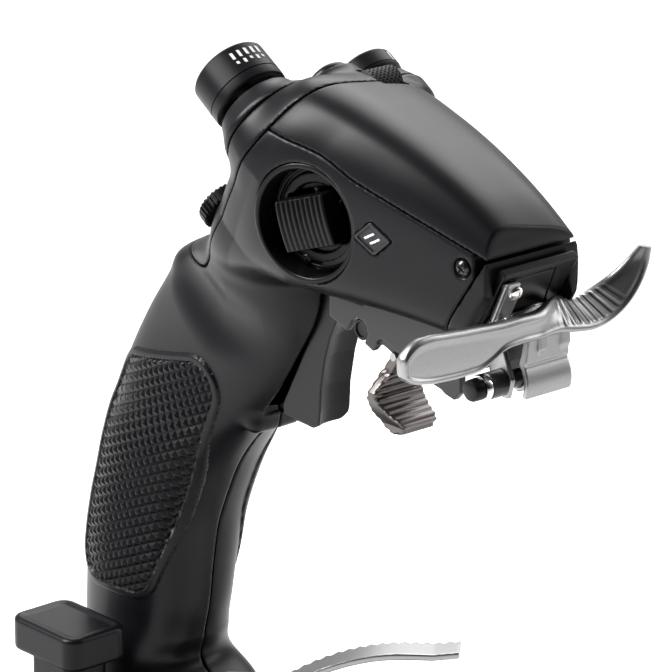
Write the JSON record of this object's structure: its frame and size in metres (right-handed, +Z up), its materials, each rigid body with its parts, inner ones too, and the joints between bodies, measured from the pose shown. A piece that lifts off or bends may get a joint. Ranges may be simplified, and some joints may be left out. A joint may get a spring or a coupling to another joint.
{
  "type": "flight joystick",
  "caption": "Desktop flight joystick: square weighted base, two-axis gimbal, pitched head with hats, side switch, triggers, folding steel trigger, brake lever and hand rest.",
  "frame": {"origin": "centre of the base on the desk, below the gimbal", "axes": "+Z up, +Y forward away from the pilot, +X to starboard"},
  "size_m": [0.176, 0.2622, 0.3005],
  "materials": {
    "shell_black": "fine matte moulded plastic, satin highlights",
    "pad_black": "soft moulded pad with small pyramids",
    "soft_black": "smooth satin black plastic",
    "trim_grey": "dark grey moulded plastic",
    "dark_metal": "dark anodised metal",
    "gun_metal": "gunmetal with bright edges",
    "steel": "satin stainless steel",
    "screw_steel": "blackened steel screws",
    "rubber": "rubber",
    "board_green": "printed circuit board"
  },
  "bodies": {
    "base": {"base_bottom": "shell_black", "base_top": "shell_black", "base_feet": "rubber", "base_screws": "screw_steel", "base_weight": "dark_metal", "gimbal_frame": "dark_metal", "base_board": "board_green", "data_socket": "steel", "centring_spring": "steel"},
    "cradle": {"gimbal_ring": "dark_metal", "roll_pins": "steel"},
    "stick": {"gimbal_block": "dark_metal", "pitch_pin": "steel", "stick_shaft": "dark_metal", "dust_dome": "soft_black", "collar_nut": "trim_grey", "grip_shell_right": "shell_black", "grip_shell_left": "shell_black", "grip_pad_right": "pad_black", "grip_pad_left": "pad_black", "rear_cover": "shell_black", "head_top_shell": "shell_black", "side_panel_right": "shell_black", "side_panel_left": "shell_black", "nose_plate": "shell_black", "badge_plate": "trim_grey", "switch_bezel": "soft_black", "switch_screws": "screw_steel", "rocker_pin": "steel", "hat_right_collar": "shell_black", "hat_left_collar": "shell_black", "hat_posts": "dark_metal", "wheel_axle": "steel", "trigger_frame": "dark_metal", "trigger_pin": "steel", "carriage_cheeks": "trim_grey", "carriage_bridge": "trim_grey", "carriage_pin": "screw_steel", "paddle_pin": "steel", "hinge_bracket": "steel", "bracket_screws": "steel", "fold_pin": "dark_metal", "lever_bracket": "dark_metal", "lever_pin": "steel", "rest_socket": "trim_grey", "head_screws": "screw_steel"},
    "side_rocker": {"side_rocker": "soft_black"},
    "hat_right_tilt": {"hat_right_ball": "steel"},
    "hat_right": {"hat_right_cap": "shell_black"},
    "hat_left_tilt": {"hat_left_ball": "steel"},
    "hat_left": {"hat_left_cap": "shell_black"},
    "thumb_button": {"thumb_button": "soft_black"},
    "scroll_wheel": {"scroll_wheel": "rubber"},
    "thumb_dial": {"thumb_dial": "soft_black"},
    "main_trigger": {"main_trigger": "soft_black"},
    "front_paddle": {"front_paddle": "gun_metal"},
    "folding_trigger": {"folding_trigger": "steel"},
    "brake_lever": {"brake_lever": "steel"},
    "hand_rest": {"rest_post": "shell_black", "rest_pad": "shell_black"}
  },
  "joints": [
    {"name": "roll", "type": "hinge", "parent": "base", "child": "cradle", "pos_m": [0, 0, 0.033], "axis": [0, 1, 0], "range_deg": [-16, 16], "stiffness_Nm_per_rad": 6},
    {"name": "pitch", "type": "hinge", "parent": "cradle", "child": "stick", "pos_m": [0, 0, 0.033], "axis": [1, 0, 0], "range_deg": [-16, 16], "stiffness_Nm_per_rad": 6, "deforming": ["centring_spring"]},
    {"name": "side_rocker_tilt", "type": "hinge", "parent": "stick", "child": "side_rocker", "pos_m": [0.02008, 0.09712, 0.25753], "axis": [0.0787, -0.2784, 0.9572], "range_deg": [-12, 12], "stiffness_Nm_per_rad": 0.05},
    {"name": "hat_right_updown", "type": "hinge", "parent": "stick", "child": "hat_right_tilt", "pos_m": [0.0175, 0.05917, 0.28546], "axis": [1, 0, 0], "range_deg": [-8, 8], "stiffness_Nm_per_rad": 0.05},
    {"name": "hat_right_side", "type": "hinge", "parent": "hat_right_tilt", "child": "hat_right", "pos_m": [0.0175, 0.05917, 0.28546], "axis": [0, 0.5446, 0.8387], "range_deg": [-8, 8], "stiffness_Nm_per_rad": 0.05},
    {"name": "hat_left_updown", "type": "hinge", "parent": "stick", "child": "hat_left_tilt", "pos_m": [-0.028, 0.06368, 0.27955], "axis": [1, 0, 0], "range_deg": [-8, 8], "stiffness_Nm_per_rad": 0.05},
    {"name": "hat_left_side", "type": "hinge", "parent": "hat_left_tilt", "child": "hat_left", "pos_m": [-0.028, 0.06368, 0.27955], "axis": [0, 0.5446, 0.8387], "range_deg": [-8, 8], "stiffness_Nm_per_rad": 0.05},
    {"name": "thumb_button_push", "type": "slide", "parent": "stick", "child": "thumb_button", "axis": [0, 0.8387, -0.5446], "range_m": [0, 0.0015], "stiffness_N_per_m": 800},
    {"name": "scroll_wheel_spin", "type": "hinge", "parent": "stick", "child": "scroll_wheel", "pos_m": [-0.0115, 0.08499, 0.28813], "axis": [1, 0, 0], "continuous": true},
    {"name": "thumb_dial_turn", "type": "hinge", "parent": "stick", "child": "thumb_dial", "pos_m": [0.0153, 0.04838, 0.24681], "axis": [0, 0.8387, -0.5446], "range_deg": [-140, 140]},
    {"name": "main_trigger_pull", "type": "hinge", "parent": "stick", "child": "main_trigger", "pos_m": [0, 0.096, 0.243], "axis": [1, 0, 0], "range_deg": [-8, 0], "stiffness_Nm_per_rad": 0.6},
    {"name": "front_paddle_pull", "type": "hinge", "parent": "stick", "child": "front_paddle", "pos_m": [0, 0.121, 0.2195], "axis": [1, 0, 0], "range_deg": [-12, 0], "stiffness_Nm_per_rad": 0.4},
    {"name": "folding_trigger_fold", "type": "hinge", "parent": "stick", "child": "folding_trigger", "pos_m": [0, 0.16, 0.2207], "axis": [1, 0, 0], "range_deg": [-90, 0]},
    {"name": "brake_lever_pull", "type": "hinge", "parent": "stick", "child": "brake_lever", "pos_m": [-0.013, 0.0392, 0.08], "axis": [0.7157, 0.6984, 0], "range_deg": [0, 12], "stiffness_Nm_per_rad": 0.5},
    {"name": "hand_rest_height", "type": "slide", "parent": "stick", "child": "hand_rest", "axis": [0, 0, 1], "range_m": [-0.003, 0.008]}
  ]
}
